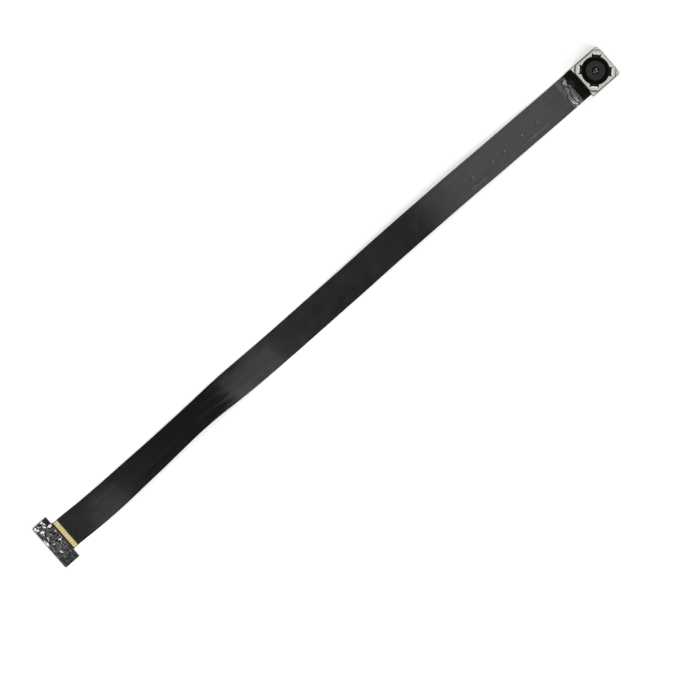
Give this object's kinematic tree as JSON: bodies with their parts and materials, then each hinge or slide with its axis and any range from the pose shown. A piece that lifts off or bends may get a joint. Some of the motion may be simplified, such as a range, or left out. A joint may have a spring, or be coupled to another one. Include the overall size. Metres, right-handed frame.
{
  "type": "camera module",
  "caption": "Small square autofocus camera head with a stamped can, on a long flat flexible tail with a wide contact end.",
  "frame": {"origin": "centre of the camera head's back face, on the optical axis", "axes": "+Z along the optical axis, out of the lens; +X from the head along the tail to the contact tongue; +Y across the tail"},
  "size_m": [0.1797, 0.0126, 0.0052],
  "materials": {
    "stamped_steel": "satin",
    "back_steel": "satin",
    "black_film": "satin",
    "amber_core": "gloss",
    "board": "satin",
    "housing_plastic": "matte",
    "carrier_plastic": "matte",
    "barrel_plastic": "matte",
    "silicon": "gloss",
    "gold": "satin",
    "spring_alloy": "satin",
    "copper_wire": "gloss",
    "magnet_nickel": "satin",
    "ceramic_chip": "satin",
    "chip_package": "matte",
    "solder": "gloss",
    "filter_glass": "gloss",
    "lens_resin": "gloss",
    "potting": "matte",
    "bead_adhesive": "gloss",
    "clear_adhesive": "gloss",
    "glossy_tape": "gloss"
  },
  "bodies": {
    "module": {"back_stiffener": "back_steel", "flex_core": "amber_core", "bottom_film": "black_film", "top_film": "black_film", "head_board": "board", "image_sensor": "silicon", "bond_wires": "gold", "driver_chip": "chip_package", "capacitor_1": "ceramic_chip", "capacitor_2": "ceramic_chip", "capacitor_3": "ceramic_chip", "capacitor_4": "ceramic_chip", "filter_holder": "housing_plastic", "ir_filter": "filter_glass", "vcm_base": "housing_plastic", "terminal_1": "gold", "terminal_2": "gold", "solder_joint_1": "solder", "solder_joint_2": "solder", "lower_spring_left": "spring_alloy", "lower_spring_right": "spring_alloy", "magnet_1": "magnet_nickel", "magnet_2": "magnet_nickel", "magnet_3": "magnet_nickel", "magnet_4": "magnet_nickel", "upper_spring": "spring_alloy", "spring_spacer": "housing_plastic", "shield_can": "stamped_steel", "neck_resin": "potting", "neck_bead": "bead_adhesive", "exposed_traces": "gold", "tongue_stiffener": "chip_package", "end_tape": "glossy_tape", "contact_fingers": "gold"},
    "lens_unit": {"lens_carrier": "carrier_plastic", "coil": "copper_wire", "lens_barrel": "barrel_plastic", "lens_1": "lens_resin", "lens_2": "lens_resin", "lens_3": "lens_resin", "lens_4": "lens_resin", "baffle_1": "barrel_plastic", "baffle_2": "barrel_plastic", "baffle_3": "barrel_plastic", "lens_retainer": "barrel_plastic", "lens_glue": "clear_adhesive"}
  },
  "joints": [
    {"name": "lens_focus", "type": "slide", "parent": "module", "child": "lens_unit", "axis": [0, 0, 1], "range_m": [0, 0.0003], "stiffness_N_per_m": 50, "springref_m": -0.0001, "deforming": ["upper_spring", "lower_spring_left", "lower_spring_right"]}
  ]
}
